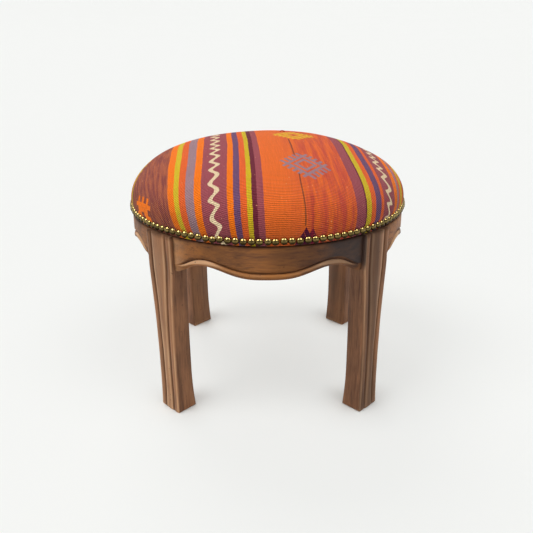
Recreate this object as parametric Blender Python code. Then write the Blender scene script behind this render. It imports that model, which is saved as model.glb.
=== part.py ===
"""A round upholstered stool: moulded legs and curved aprons under a domed seat in a nailed kilim cover.

Metres, +Z up. The origin is on the floor under the middle of the seat, and the front faces -Y.
"""

import math

import bmesh
import bpy
from mathutils import Matrix, Vector

# Clearance between pieces that touch
GAP = 0.0003

# Frame ring, measured at the show face of the aprons
FRAME_R = 0.2235
SHOULDER_Z = 0.3045
REBATE_HEIGHT = 0.0155
REBATE_DEPTH = 0.0030
SHOULDER_EASE = 0.0008
REBATE_SEGMENTS = 120

# Legs: the top block, the waist of the taper and the flared foot
LEG_TOP_HALF = 0.0310
LEG_WAIST_HALF = 0.0211
LEG_FOOT_HALF = 0.0225
LEG_TOP_PROUD = 0.0020
LEG_WAIST_PROUD = 0.0016
LEG_FOOT_PROUD = 0.0031
LEG_TOP_DEPTH = 0.0265
LEG_WAIST_DEPTH = 0.0278
LEG_FOOT_DEPTH = 0.0318
KNEE_DROP = 0.0575
WAIST_Z = 0.070
TAPER_POWER = 2.2
FLARE_POWER = 2.0
LEG_RINGS = 7

# Moulding down the front of each leg: a bead at each edge, a groove and a low round field
LEG_BEAD_WIDTH = 0.0100
LEG_BEAD_RISE = 0.0012
LEG_GROOVE_WIDTH = 0.0042
LEG_GROOVE_DEPTH = 0.0025
LEG_FIELD_RISE = 0.0012
LEG_EDGE_ROUND = 0.0026
LEG_BACK_CHAMFER = 0.0020
FOOT_CHAMFER = 0.0015

# Aprons: depth under the shoulder at the belly, the crest and the lobe beside the leg
APRON_THICKNESS = 0.0220
APRON_BELLY_DEPTH = 0.0502
APRON_CREST_DEPTH = 0.0360
APRON_LOBE_DEPTH = 0.0531
APRON_CREST_ANGLE = math.radians(24.0)
BELLY_POWER = 1.9
LOBE_POWER = 1.5
APRON_STATIONS = 32

# Cove and bead along the lower edge of each apron, with a tail that runs out on the lobe
BEAD_BAND = 0.0132
BEAD_BAND_END = 0.0109
BEAD_LIP = 0.0006
BEAD_RISE = 0.0006
BEAD_STEPS = 4
COVE_WIDTH = 0.0034
COVE_DEPTH = 0.0024
COVE_SWELL = 0.0012
TAIL_ANGLE = math.radians(36.2)
TAIL_TIP = 0.0008
TAIL_LIFT_POWER = 4.0
TAIL_FADE_POWER = 6.0

# Tenons of the aprons in the legs
TENON_THICKNESS = 0.0100
TENON_HEIGHT = 0.0300
TENON_DROP = 0.0070
TENON_LENGTH = 0.0200
TENON_ROOT = 0.0060
TENON_SETBACK = 0.0145

# Corner blocks behind the legs
BLOCK_HEIGHT = 0.0300
BLOCK_DEPTH = 0.0310
BLOCK_WING = 0.0350
BLOCK_BACK_WING = 0.0230
BLOCK_ARC_STEPS = 5

# Countersunk wood screws
SCREW_LENGTH = 0.0380
SCREW_SHANK_R = 0.0020
SCREW_HEAD_R = 0.0040
SCREW_HEAD_HEIGHT = 0.0026
SCREW_TIP = 0.0040
SCREW_SIDES = 10
SCREW_EDGE = 0.0160
BOARD_SCREW_INSET = 0.0150

# Seat: board, foam, wadding and cover, one over the other
BOARD_THICKNESS = 0.0120
BOARD_EASE = 0.0015
WADDING_SIDE = 0.0033
WADDING_TOP = 0.0060
COVER_THICKNESS = 0.0022
DOME_OVERHANG = 0.0014
DOME_DROP = 0.0040
CROWN_HEIGHT = 0.0974
DOME_SIDE_POWER = 1.93
DOME_TOP_POWER = 2.40
COVER_RINGS = 8
FILLING_RINGS = 5
COVER_HEM_LIFT = 0.0013

# Row of upholstery nails round the edge of the cover
NAIL_COUNT = 126
NAIL_LIFT = 0.0084
NAIL_HEAD_R = 0.0047
NAIL_HEAD_HEIGHT = 0.0030
NAIL_SHOULDER_R = 0.0034
NAIL_SHOULDER_HEIGHT = 0.0022
NAIL_SINK = 0.0006
NAIL_SIDES = 6

# Heights and radii that follow from the sizes above
FRAME_TOP = SHOULDER_Z + REBATE_HEIGHT
KNEE_Z = SHOULDER_Z - KNEE_DROP
REBATE_R = FRAME_R - REBATE_DEPTH
APRON_INNER_R = FRAME_R - APRON_THICKNESS
LEG_BACK_D = FRAME_R + LEG_TOP_PROUD - LEG_TOP_DEPTH
TENON_D = FRAME_R - TENON_SETBACK
TENON_TOP = SHOULDER_Z - TENON_DROP
BLOCK_FRONT_D = LEG_BACK_D - GAP
BLOCK_BACK_D = BLOCK_FRONT_D - BLOCK_DEPTH
BLOCK_BOTTOM = FRAME_TOP - BLOCK_HEIGHT
BLOCK_HALF = LEG_TOP_HALF + BLOCK_WING
BLOCK_BACK_HALF = LEG_TOP_HALF + BLOCK_BACK_WING
SCREW_SPREAD = LEG_TOP_HALF + SCREW_EDGE
SEAT_SEGMENTS = NAIL_COUNT // 2
FLAT_SHARE = math.cos(math.pi / SEAT_SEGMENTS)
BOARD_BOTTOM = FRAME_TOP + GAP
BOARD_TOP = BOARD_BOTTOM + BOARD_THICKNESS
DOME_BASE = FRAME_TOP - DOME_DROP
DOME_R = FRAME_R + DOME_OVERHANG
LINING_R = DOME_R - COVER_THICKNESS
LINING_HEIGHT = CROWN_HEIGHT - COVER_THICKNESS
WADDING_R = LINING_R - GAP
WADDING_HEIGHT = LINING_HEIGHT - GAP
FOAM_R = WADDING_R - WADDING_SIDE - GAP
FOAM_HEIGHT = WADDING_HEIGHT - WADDING_TOP - GAP
HEM_Z = SHOULDER_Z + COVER_HEM_LIFT
HEM_INNER_R = (REBATE_R + GAP) / FLAT_SHARE
HEM_OUTER_R = HEM_INNER_R + COVER_THICKNESS
NAIL_Z = SHOULDER_Z + NAIL_LIFT

# Directions of the four corners and of the four sides, as angles about +Z
CORNERS = {"rear_right": 45, "rear_left": 135, "front_left": 225, "front_right": 315}
SIDES = {"right": 0, "rear": 90, "left": 180, "front": 270}
QUARTER = math.radians(45)
SHARP_ANGLE = math.radians(38)


def material(name, colour, roughness, metallic=0.0):
    """A plain Principled finish."""
    made = bpy.data.materials.new(name)
    made.use_nodes = True
    shader = made.node_tree.nodes["Principled BSDF"]
    shader.inputs["Base Color"].default_value = (*colour, 1.0)
    shader.inputs["Roughness"].default_value = roughness
    shader.inputs["Metallic"].default_value = metallic
    return made


def finished_mesh(name, shape, finish):
    """Turns a bmesh into a mesh with its faces pointing out, smooth where it is round."""
    bmesh.ops.recalc_face_normals(shape, faces=shape.faces[:])
    mesh = bpy.data.meshes.new(name)
    shape.to_mesh(mesh)
    shape.free()
    mesh.materials.append(finish)
    mesh.shade_smooth()
    mesh.set_sharp_from_angle(angle=SHARP_ANGLE)
    return mesh


def place(name, mesh, parent, location=(0, 0, 0), rotation=(0, 0, 0)):
    """One piece of the stool, placed by its location and rotation under the parent."""
    piece = bpy.data.objects.new(name, mesh)
    piece.location = location
    piece.rotation_euler = rotation
    piece.parent = parent
    bpy.context.scene.collection.objects.link(piece)
    return piece


def combined(mesh, other, operation):
    """The mesh joined with another mesh, or cut by it."""
    base = bpy.data.objects.new("base", mesh)
    tool = bpy.data.objects.new("tool", other)
    for helper in (base, tool):
        bpy.context.scene.collection.objects.link(helper)
    change = base.modifiers.new(operation.lower(), "BOOLEAN")
    change.operation = operation
    change.solver = "EXACT"
    change.material_mode = "TRANSFER"
    change.object = tool
    graph = bpy.context.evaluated_depsgraph_get()
    result = bpy.data.meshes.new_from_object(base.evaluated_get(graph))
    for helper in (base, tool):
        bpy.data.objects.remove(helper)
    result.name = mesh.name
    result.set_sharp_from_angle(angle=SHARP_ANGLE)
    return result


def lofted(rings):
    """A solid through closed rings that all have the same number of points."""
    shape = bmesh.new()
    loops = [[shape.verts.new(point) for point in ring] for ring in rings]
    for lower, upper in zip(loops, loops[1:]):
        for index in range(len(lower)):
            after = (index + 1) % len(lower)
            shape.faces.new((lower[index], lower[after], upper[after], upper[index]))
    shape.faces.new(loops[0])
    shape.faces.new(loops[-1])
    return shape


def turned(profile, segments):
    """A solid of revolution about Z. Its (radius, height) points end on the axis or where they began."""
    shape = bmesh.new()
    points = [shape.verts.new((radius, 0, height)) for radius, height in profile]
    edges = [shape.edges.new(pair) for pair in zip(points, points[1:])]
    bmesh.ops.spin(
        shape, geom=points + edges, cent=(0, 0, 0), axis=(0, 0, 1),
        angle=2 * math.pi, steps=segments, use_merge=True,
    )
    bmesh.ops.remove_doubles(shape, verts=shape.verts[:], dist=1e-6)
    return shape


def add_box(shape, low, high, turn):
    """Adds a box between two corners, turned about Z."""
    middle = (Vector(low) + Vector(high)) / 2
    size = Vector(high) - Vector(low)
    fit = Matrix.Rotation(turn, 4, "Z") @ Matrix.Translation(middle) @ Matrix.Diagonal((*size, 1))
    bmesh.ops.create_cube(shape, size=1, matrix=fit)


def joined(shapes):
    """Several closed shapes in one mesh, to cut or join in one go."""
    both = bmesh.new()
    for shape in shapes:
        part = bpy.data.meshes.new("part")
        bmesh.ops.recalc_face_normals(shape, faces=shape.faces[:])
        shape.to_mesh(part)
        shape.free()
        both.from_mesh(part)
        bpy.data.meshes.remove(part)
    return both


def leg_size(z, top, waist, foot):
    """A size of the leg at height z, easing from the waist up to the knee and down to the foot."""
    if z >= KNEE_Z:
        return top
    if z >= WAIST_Z:
        return waist + (top - waist) * ((z - WAIST_Z) / (KNEE_Z - WAIST_Z)) ** TAPER_POWER
    return waist + (foot - waist) * (1 - z / WAIST_Z) ** FLARE_POWER


def leg_ring(z, inset=0.0):
    """One section of a leg that faces +X, from the middle of its moulded front round to the back."""
    half = leg_size(z, LEG_TOP_HALF, LEG_WAIST_HALF, LEG_FOOT_HALF) - inset
    face = FRAME_R + leg_size(z, LEG_TOP_PROUD, LEG_WAIST_PROUD, LEG_FOOT_PROUD) - inset
    back = face + 2 * inset - leg_size(z, LEG_TOP_DEPTH, LEG_WAIST_DEPTH, LEG_FOOT_DEPTH)
    bead = half - LEG_BEAD_WIDTH
    field = bead - LEG_GROOVE_WIDTH
    front = [
        (0.0, LEG_FIELD_RISE),
        (field * 0.6, LEG_FIELD_RISE * 0.7),
        (field, 0.0),
        ((field + bead) / 2, -LEG_GROOVE_DEPTH),
        (bead, 0.0),
        ((bead + half) / 2, LEG_BEAD_RISE),
        (half - LEG_EDGE_ROUND, LEG_BEAD_RISE * 0.3),
        (half, -LEG_EDGE_ROUND),
    ]
    side = [(math.sqrt(face ** 2 - across ** 2) + rise, across) for across, rise in front]
    side.append((back + LEG_BACK_CHAMFER, half))
    side.append((back, half - LEG_BACK_CHAMFER))
    mirrored = [(depth, -across) for depth, across in reversed(side[1:])]
    return [(depth, across, z) for depth, across in side + mirrored]


def rebate_ring():
    """A ring that cuts the rebate for the hem of the cover round the top of a leg."""
    outer = FRAME_R + LEG_TOP_DEPTH
    top = FRAME_TOP + REBATE_HEIGHT
    corners = [(REBATE_R, SHOULDER_Z), (outer, SHOULDER_Z), (outer, top), (REBATE_R, top)]
    return turned(corners + corners[:1], REBATE_SEGMENTS)


def leg_mesh(finish):
    """A tapered leg with its moulded front, rebated top and two mortises."""
    rings = [leg_ring(0.0, inset=FOOT_CHAMFER), leg_ring(FOOT_CHAMFER), leg_ring(WAIST_Z / 2)]
    for step in range(LEG_RINGS + 1):
        rings.append(leg_ring(WAIST_Z + (KNEE_Z - WAIST_Z) * step / LEG_RINGS))
    rings.append(leg_ring(FRAME_TOP))
    body = finished_mesh("leg", lofted(rings), finish)
    cuts = [rebate_ring()]
    for side in (-1, 1):
        mortise = bmesh.new()
        across = sorted((side * (LEG_TOP_HALF - TENON_LENGTH - GAP), side * (LEG_TOP_HALF + TENON_ROOT)))
        low = (TENON_D - TENON_THICKNESS / 2 - GAP, across[0], TENON_TOP - TENON_HEIGHT - GAP)
        high = (TENON_D + TENON_THICKNESS / 2 + GAP, across[1], TENON_TOP + GAP)
        add_box(mortise, low, high, 0.0)
        cuts.append(mortise)
    return combined(body, finished_mesh("leg_cuts", joined(cuts), finish), "DIFFERENCE")


def end_angle(radius):
    """Angle at which a curve of this radius about the axis meets the side of the leg."""
    return QUARTER - math.asin((LEG_TOP_HALF + GAP) / radius)


def share(angle, whole):
    """An ease from 0 to 1 as an angle goes from 0 to the whole."""
    return (1 - math.cos(math.pi * angle / whole)) / 2


def apron_lower_edge(angle):
    """Depth of the serpentine lower edge and height of its beaded band, at an angle from the middle."""
    if angle < APRON_CREST_ANGLE:
        rise = share(angle, APRON_CREST_ANGLE) ** BELLY_POWER
        return APRON_BELLY_DEPTH + (APRON_CREST_DEPTH - APRON_BELLY_DEPTH) * rise, BEAD_BAND
    fall = share(angle - APRON_CREST_ANGLE, end_angle(FRAME_R) - APRON_CREST_ANGLE) ** LOBE_POWER
    depth = APRON_CREST_DEPTH + (APRON_LOBE_DEPTH - APRON_CREST_DEPTH) * fall
    return depth, BEAD_BAND + (BEAD_BAND_END - BEAD_BAND) * fall


def bead_sizes(angle, band):
    """Lift of the bead over the lower edge, its height, and how much is left of its relief, out to the tail."""
    tail = max(0.0, min(1.0, (angle - APRON_CREST_ANGLE) / (TAIL_ANGLE - APRON_CREST_ANGLE)))
    lift = BEAD_LIP + (band - BEAD_LIP - TAIL_TIP) * tail ** TAIL_LIFT_POWER
    cove = COVE_WIDTH + COVE_SWELL * math.sin(math.pi * tail)
    height = (band - lift) * (1 - cove / (band - BEAD_LIP))
    return lift, height, 1 - tail ** TAIL_FADE_POWER


def apron_ring(station):
    """One section of an apron that faces +X. The station runs from -1 to 1, from leg to leg."""
    angle_from_middle = abs(station) * end_angle(FRAME_R)
    depth, band = apron_lower_edge(angle_from_middle)
    lift, bead_height, relief = bead_sizes(angle_from_middle, band)
    lower = SHOULDER_Z - depth
    cove = FRAME_R - COVE_DEPTH * relief
    section = [
        (APRON_INNER_R, FRAME_TOP),
        (REBATE_R, FRAME_TOP),
        (REBATE_R, SHOULDER_Z),
        (FRAME_R - SHOULDER_EASE, SHOULDER_Z),
        (FRAME_R, SHOULDER_Z - SHOULDER_EASE),
        (FRAME_R, lower + band),
    ]
    for step in range(BEAD_STEPS + 1):
        turn = math.pi * (0.5 - step / BEAD_STEPS)
        section.append((
            cove + (COVE_DEPTH + BEAD_RISE) * relief * math.cos(turn),
            lower + lift + bead_height * (1 + math.sin(turn)) / 2,
        ))
    section.append((cove - BEAD_LIP, lower))
    section.append((APRON_INNER_R, lower))
    ring = []
    for radius, height in section:
        angle = station * end_angle(radius)
        ring.append((radius * math.cos(angle), radius * math.sin(angle), height))
    return ring


def screw_profile(extra=0.0, above=0.0):
    """Profile of a screw that points down -Z, or of its hole when extra is the clearance."""
    head = SCREW_HEAD_R + extra
    shank = SCREW_SHANK_R + extra
    profile = [(0.0, above), (head, above)]
    if above:
        profile.append((head, 0.0))
    profile.append((shank, -SCREW_HEAD_HEIGHT))
    profile.append((shank, SCREW_TIP - SCREW_LENGTH - extra))
    profile.append((0.0, -SCREW_LENGTH - extra))
    return profile


def screw_holes(places):
    """Clearance holes for screws, as one cutter."""
    holes = []
    for spot, rotation in places:
        hole = turned(screw_profile(extra=GAP, above=SCREW_HEAD_HEIGHT), SCREW_SIDES)
        turn = rotation_matrix(rotation)
        bmesh.ops.transform(hole, matrix=Matrix.Translation(spot) @ turn, verts=hole.verts[:])
        holes.append(hole)
    return joined(holes)


def rotation_matrix(rotation):
    """Matrix of a rotation about X, then Y, then Z."""
    about_x, about_y, about_z = rotation
    turn = Matrix.Rotation(about_z, 4, "Z") @ Matrix.Rotation(about_y, 4, "Y")
    return turn @ Matrix.Rotation(about_x, 4, "X")


def around(direction, out, across, height):
    """A point that lies out and across from the axis, as seen along a direction about +Z."""
    return Matrix.Rotation(direction, 4, "Z") @ Vector((out, across, height))


def block_screw(direction, side):
    """Place and rotation of a screw through a corner block into the apron on one side of the leg."""
    spot = around(direction, BLOCK_BACK_D, side * SCREW_SPREAD, FRAME_TOP - BLOCK_HEIGHT / 2)
    return spot, (0.0, -math.pi / 2, direction)


def board_screw(direction):
    """Place and rotation of a screw up through a corner block into the seat board."""
    return around(direction, BLOCK_FRONT_D - BOARD_SCREW_INSET, 0.0, BLOCK_BOTTOM), (math.pi, 0.0, direction)


def apron_mesh(finish):
    """A curved apron with a tenon at each end and a pilot hole for the screw of each corner block."""
    stations = [2 * step / APRON_STATIONS - 1 for step in range(APRON_STATIONS + 1)]
    body = finished_mesh("apron", lofted([apron_ring(station) for station in stations]), finish)
    tenons = bmesh.new()
    for side in (-1, 1):
        inner_end = -side * (LEG_TOP_HALF - TENON_LENGTH)
        outer_end = -side * (LEG_TOP_HALF + GAP + TENON_ROOT)
        across = sorted((inner_end, outer_end))
        low = (TENON_D - TENON_THICKNESS / 2, across[0], TENON_TOP - TENON_HEIGHT)
        high = (TENON_D + TENON_THICKNESS / 2, across[1], TENON_TOP)
        add_box(tenons, low, high, side * QUARTER)
    body = combined(body, finished_mesh("tenons", tenons, finish), "UNION")
    pilots = screw_holes([block_screw(side * QUARTER, -side) for side in (-1, 1)])
    return combined(body, finished_mesh("pilots", pilots, finish), "DIFFERENCE")


def corner_block_mesh(finish):
    """A block that fills the corner behind a leg facing +X, drilled for its three screws."""
    arc_r = APRON_INNER_R - GAP
    nose = LEG_TOP_HALF - LEG_BACK_CHAMFER
    arc_start = LEG_TOP_HALF + LEG_BACK_CHAMFER
    side = [(BLOCK_FRONT_D, nose)]
    for step in range(BLOCK_ARC_STEPS + 1):
        across = arc_start + (BLOCK_HALF - arc_start) * step / BLOCK_ARC_STEPS
        side.append((math.sqrt(arc_r ** 2 - across ** 2), across))
    side.append((BLOCK_BACK_D, BLOCK_BACK_HALF))
    outline = side + [(out, -across) for out, across in reversed(side)]
    rings = [[(out, across, z) for out, across in outline] for z in (BLOCK_BOTTOM, FRAME_TOP)]
    body = finished_mesh("corner_block", lofted(rings), finish)
    holes = screw_holes([block_screw(0.0, -1), block_screw(0.0, 1), board_screw(0.0)])
    return combined(body, finished_mesh("holes", holes, finish), "DIFFERENCE")


def seat_board_mesh(finish):
    """A plywood disc on top of the frame, with a pilot hole over each corner block."""
    profile = [
        (0.0, BOARD_TOP),
        (FOAM_R - BOARD_EASE, BOARD_TOP),
        (FOAM_R, BOARD_TOP - BOARD_EASE),
        (FOAM_R, BOARD_BOTTOM + BOARD_EASE),
        (FOAM_R - BOARD_EASE, BOARD_BOTTOM),
        (0.0, BOARD_BOTTOM),
    ]
    body = finished_mesh("seat_board", turned(profile, SEAT_SEGMENTS), finish)
    pilots = screw_holes([board_screw(math.radians(angle)) for angle in CORNERS.values()])
    return combined(body, finished_mesh("pilots", pilots, finish), "DIFFERENCE")


def dome(radius, height, start_z, rings):
    """Profile of a layer of the seat, from its crown down to start_z."""
    points = [(0.0, DOME_BASE + height)]
    start = math.asin(((start_z - DOME_BASE) / height) ** (DOME_TOP_POWER / 2))
    angles = [math.pi / 2 * (1 - step / rings) for step in range(1, rings)]
    for angle in [angle for angle in angles if angle > start] + [start]:
        points.append((
            radius * math.cos(angle) ** (2 / DOME_SIDE_POWER),
            DOME_BASE + height * math.sin(angle) ** (2 / DOME_TOP_POWER),
        ))
    return points


def foam_mesh(finish):
    """The crowned foam pad on the seat board."""
    profile = dome(FOAM_R, FOAM_HEIGHT, BOARD_TOP + GAP, FILLING_RINGS)
    profile.append((0.0, BOARD_TOP + GAP))
    return finished_mesh("foam_pad", turned(profile, SEAT_SEGMENTS), finish)


def wadding_mesh(finish):
    """The layer of wadding drawn down over the foam and the edge of the board."""
    outer = dome(WADDING_R, WADDING_HEIGHT, BOARD_BOTTOM, FILLING_RINGS)
    inner = dome(FOAM_R + GAP, FOAM_HEIGHT + GAP, BOARD_TOP + GAP, FILLING_RINGS)
    inner.append((FOAM_R + GAP, BOARD_TOP + GAP))
    inner.append((FOAM_R + GAP, BOARD_BOTTOM))
    return finished_mesh("wadding", turned(outer + inner[::-1], SEAT_SEGMENTS), finish)


def nail_rows(finish):
    """The heads of all the nails, as low domes that start a little under the face of the cover."""
    heads = []
    face = HEM_OUTER_R * FLAT_SHARE
    profile = [
        (0.0, NAIL_HEAD_HEIGHT),
        (NAIL_SHOULDER_R, NAIL_SHOULDER_HEIGHT),
        (NAIL_HEAD_R, -NAIL_SINK),
        (0.0, -NAIL_SINK),
    ]
    for index in range(NAIL_COUNT):
        head = turned(profile, NAIL_SIDES)
        direction = 2 * math.pi * (index + 0.5) / NAIL_COUNT
        turn = Matrix.Translation(around(direction, face, 0.0, NAIL_Z))
        turn = turn @ rotation_matrix((0.0, math.pi / 2, direction))
        bmesh.ops.transform(head, matrix=turn, verts=head.verts[:])
        heads.append(head)
    return finished_mesh("nails", joined(heads), finish)


def cover_mesh(cloth, brass):
    """The kilim over the seat, turned down into the rebate of the frame and held there by its nails."""
    nail_top = NAIL_Z + NAIL_HEAD_R / 2
    outer = dome(DOME_R, CROWN_HEIGHT, BOARD_BOTTOM, COVER_RINGS)
    outer.append((HEM_OUTER_R, nail_top))
    outer.append((HEM_OUTER_R, HEM_Z))
    inner = dome(LINING_R, LINING_HEIGHT, BOARD_BOTTOM, FILLING_RINGS)
    inner.append((HEM_INNER_R, nail_top))
    inner.append((HEM_INNER_R, HEM_Z))
    body = finished_mesh("kilim_cover", turned(outer + inner[::-1], SEAT_SEGMENTS), cloth)
    return combined(body, nail_rows(brass), "UNION")


def build():
    """Makes every piece of the stool."""
    for leftover in list(bpy.data.objects):
        bpy.data.objects.remove(leftover)
    wood = material("stained_beech", (0.20, 0.10, 0.05), 0.45)
    inner_wood = material("plain_beech", (0.55, 0.38, 0.22), 0.65)
    plywood = material("plywood", (0.60, 0.44, 0.27), 0.70)
    steel = material("zinc_steel", (0.62, 0.62, 0.60), 0.35, metallic=1.0)
    foam = material("foam", (0.85, 0.78, 0.55), 0.95)
    fleece = material("polyester_wadding", (0.90, 0.90, 0.88), 1.0)
    kilim = material("kilim_wool", (0.62, 0.20, 0.04), 0.95)
    brass = material("antique_brass", (0.30, 0.23, 0.10), 0.35, metallic=1.0)

    stool = bpy.data.objects.new("stool", None)
    bpy.context.scene.collection.objects.link(stool)

    apron = apron_mesh(wood)
    for side, angle in SIDES.items():
        place(f"apron_{side}", apron, stool, rotation=(0, 0, math.radians(angle)))

    leg = leg_mesh(wood)
    block = corner_block_mesh(inner_wood)
    screw = finished_mesh("screw", turned(screw_profile(), SCREW_SIDES), steel)
    for corner, angle in CORNERS.items():
        direction = math.radians(angle)
        place(f"leg_{corner}", leg, stool, rotation=(0, 0, direction))
        place(f"corner_block_{corner}", block, stool, rotation=(0, 0, direction))
        for letter, side in (("a", -1), ("b", 1)):
            place(f"block_screw_{corner}_{letter}", screw, stool, *block_screw(direction, side))
        place(f"board_screw_{corner}", screw, stool, *board_screw(direction))

    place("seat_board", seat_board_mesh(plywood), stool)
    place("foam_pad", foam_mesh(foam), stool)
    place("wadding", wadding_mesh(fleece), stool)
    place("kilim_cover", cover_mesh(kilim, brass), stool)


build()
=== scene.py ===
# %% [markdown]
# # A round stool in a nailed kilim cover
#
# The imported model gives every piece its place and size. This lesson dresses it: a stuffed seat under
# a striped flat-woven kilim, a row of brass nails, and a frame of moulded legs and serpentine aprons.
# Everything is in metres, +Z is up and the front of the stool faces -Y.

# %% Load the frame
import math
import random

import bmesh
import bpy
import numpy as np
from mathutils import Matrix, Quaternion, Vector, noise


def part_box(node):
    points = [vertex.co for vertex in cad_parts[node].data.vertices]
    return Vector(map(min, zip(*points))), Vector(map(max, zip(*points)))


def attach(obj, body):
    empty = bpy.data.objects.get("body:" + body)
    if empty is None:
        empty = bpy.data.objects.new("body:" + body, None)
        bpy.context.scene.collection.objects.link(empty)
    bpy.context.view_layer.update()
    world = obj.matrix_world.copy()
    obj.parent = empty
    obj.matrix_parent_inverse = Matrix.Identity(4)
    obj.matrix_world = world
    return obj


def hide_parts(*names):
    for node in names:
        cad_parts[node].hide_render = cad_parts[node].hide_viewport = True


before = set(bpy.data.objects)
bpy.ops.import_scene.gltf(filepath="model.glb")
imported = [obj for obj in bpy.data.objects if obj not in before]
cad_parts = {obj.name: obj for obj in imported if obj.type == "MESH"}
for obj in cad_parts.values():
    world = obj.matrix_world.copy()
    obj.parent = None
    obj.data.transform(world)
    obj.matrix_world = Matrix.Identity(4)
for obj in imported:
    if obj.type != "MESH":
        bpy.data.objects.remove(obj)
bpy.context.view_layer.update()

# %% [markdown]
# ## Camera
#
# The photograph was taken from in front, a little above the seat. The focal length and the picture's
# centre come from fitting the rings of the seat and the four feet to the photograph, so the camera is
# set from those numbers instead of by eye. Blender wants the focal length in millimetres on a sensor.

# %% Camera
IMAGE_SIDE = 533
SENSOR = 36.0
FOCAL_PIXELS = 620.19
CENTRE_PIXEL = Vector((267.955, 266.156))
CAMERA_PLACE = Vector((0.0, -1.0117, 0.6070))
CAMERA_AIM = Vector((0.0, 0.0, 0.1838))
CAMERA_ROLL = -0.0081

lens = bpy.data.cameras.new("camera")
lens.sensor_width = SENSOR
lens.lens = FOCAL_PIXELS * SENSOR / IMAGE_SIDE
lens.shift_x = (IMAGE_SIDE / 2 - CENTRE_PIXEL.x) / IMAGE_SIDE
lens.shift_y = (CENTRE_PIXEL.y - IMAGE_SIDE / 2) / IMAGE_SIDE
camera = bpy.data.objects.new("camera", lens)
camera.location = CAMERA_PLACE
camera.rotation_mode = "QUATERNION"
look = (CAMERA_AIM - CAMERA_PLACE).to_track_quat("-Z", "Y")
camera.rotation_quaternion = look @ Quaternion((0, 0, 1), CAMERA_ROLL)
bpy.context.scene.collection.objects.link(camera)
bpy.context.scene.camera = camera
bpy.context.scene.view_settings.view_transform = "Standard"
print("camera: lens", round(lens.lens, 2), "mm, distance", round(CAMERA_PLACE.length, 3), "m")

# %% [markdown]
# ## Sums on sockets
#
# A finish is a tree of small nodes, and a tree is hard to read in code. The class below wraps one
# socket, so that a sum such as `1 - mask` or `abs(u - path) < line` adds the Math nodes by itself.
# Colours go through the Mix node, because a Math node would turn them grey.

# %% A socket that can be added, multiplied and compared
class Sock:
    """One output of a node. Arithmetic on it adds Math nodes to its tree."""

    def __init__(self, tree, socket=None):
        self.tree = tree
        self.socket = socket

    def node(self, kind, settings=None, values=None, output=0):
        """Adds a node: its settings come first, then the values or links of its sockets."""
        made = self.tree.nodes.new(kind)
        for name, value in (settings or {}).items():
            if name == "stops":
                fill_ramp(made.color_ramp, value)
            elif name == "steps":
                made.color_ramp.interpolation = value
            else:
                setattr(made, name, value)
        for key, value in (values or {}).items():
            if isinstance(value, Sock):
                self.tree.links.new(value.socket, made.inputs[key])
            else:
                made.inputs[key].default_value = value
        return Sock(self.tree, made.outputs[output])

    def out(self, index):
        """Another output of the same node."""
        return Sock(self.tree, self.socket.node.outputs[index])

    def math(self, operation, *others):
        """A Math node on this value and others."""
        return self.node("ShaderNodeMath", {"operation": operation}, dict(enumerate((self, *others))))

    def clamped(self, low=0.0, high=1.0):
        """0 at low and below, 1 at high and above, and a smooth rise between them."""
        settings = {"interpolation_type": "SMOOTHSTEP"}
        return self.node("ShaderNodeMapRange", settings, {0: self, 1: low, 2: high})

    def mixed(self, other, share, way="MIX"):
        """This colour with a share of another one."""
        settings = {"data_type": "RGBA", "blend_type": way}
        return self.node("ShaderNodeMix", settings, {0: share, 6: self, 7: other}, output=2)

    def __add__(self, other):
        return self.math("ADD", other)

    def __mul__(self, other):
        return self.math("MULTIPLY", other)

    def __sub__(self, other):
        return self.math("SUBTRACT", other)

    def __rsub__(self, other):
        return self.node("ShaderNodeMath", {"operation": "SUBTRACT"}, {0: other, 1: self})

    def __truediv__(self, other):
        return self.math("DIVIDE", other)

    def __abs__(self):
        return self.math("ABSOLUTE")

    def __lt__(self, other):
        return self.math("LESS_THAN", other)

    def __gt__(self, other):
        return self.math("GREATER_THAN", other)

    def __or__(self, other):
        return self.math("MAXIMUM", other)

    __radd__ = __add__
    __rmul__ = __mul__


def fill_ramp(ramp, stops):
    """Gives a colour ramp its (position, colour) stops."""
    while len(ramp.elements) < len(stops):
        ramp.elements.new(1.0)
    for element, (position, colour) in zip(ramp.elements, stops):
        element.position = position
        element.color = colour


def tone(red, green, blue):
    """A colour as a screen shows it, 0 to 255, turned into the linear values that shaders use."""
    shares = [value / 255 for value in (red, green, blue)]
    return (*[s / 12.92 if s <= 0.04045 else ((s + 0.055) / 1.055) ** 2.4 for s in shares], 1.0)


def new_finish(name):
    """A new material: a socket to start its sums from, and its Principled shader."""
    made = bpy.data.materials.new(name)
    made.use_nodes = True
    return made, Sock(made.node_tree), made.node_tree.nodes["Principled BSDF"]


def feed(shader, name, value):
    """Sets a socket of a shader, or links it where the value changes over the surface."""
    if isinstance(value, Sock):
        value.tree.links.new(value.socket, shader.inputs[name])
    else:
        shader.inputs[name].default_value = value


def speckle(start, vector, scale, detail=2.0, roughness=0.5):
    """Blender's noise, from 0 to 1, at a number of blotches per unit."""
    values = {"Vector": vector, "Scale": scale, "Detail": detail, "Roughness": roughness}
    return start.node("ShaderNodeTexNoise", {"noise_dimensions": "3D"}, values)


def vector_of(start, x, y, z=0.0):
    """A vector from three values."""
    return start.node("ShaderNodeCombineXYZ", None, {0: x, 1: y, 2: z})


def object_place(start):
    """The place of a point in the frame of its piece."""
    return start.node("ShaderNodeTexCoord").out(3)


def grain_place(start, rates):
    """That place stretched by a rate along each axis, for a grain."""
    return start.node("ShaderNodeVectorMath", {"operation": "MULTIPLY"}, {0: object_place(start), 1: rates})


def point_value(start, name):
    """A value that the points of a mesh carry."""
    return start.node("ShaderNodeAttribute", {"attribute_name": name}).out(2)


def plain_colour(start, colour):
    """A colour that others can be mixed into."""
    made = start.node("ShaderNodeRGB")
    made.socket.default_value = colour
    return made


print("sums on sockets: ready")

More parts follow.
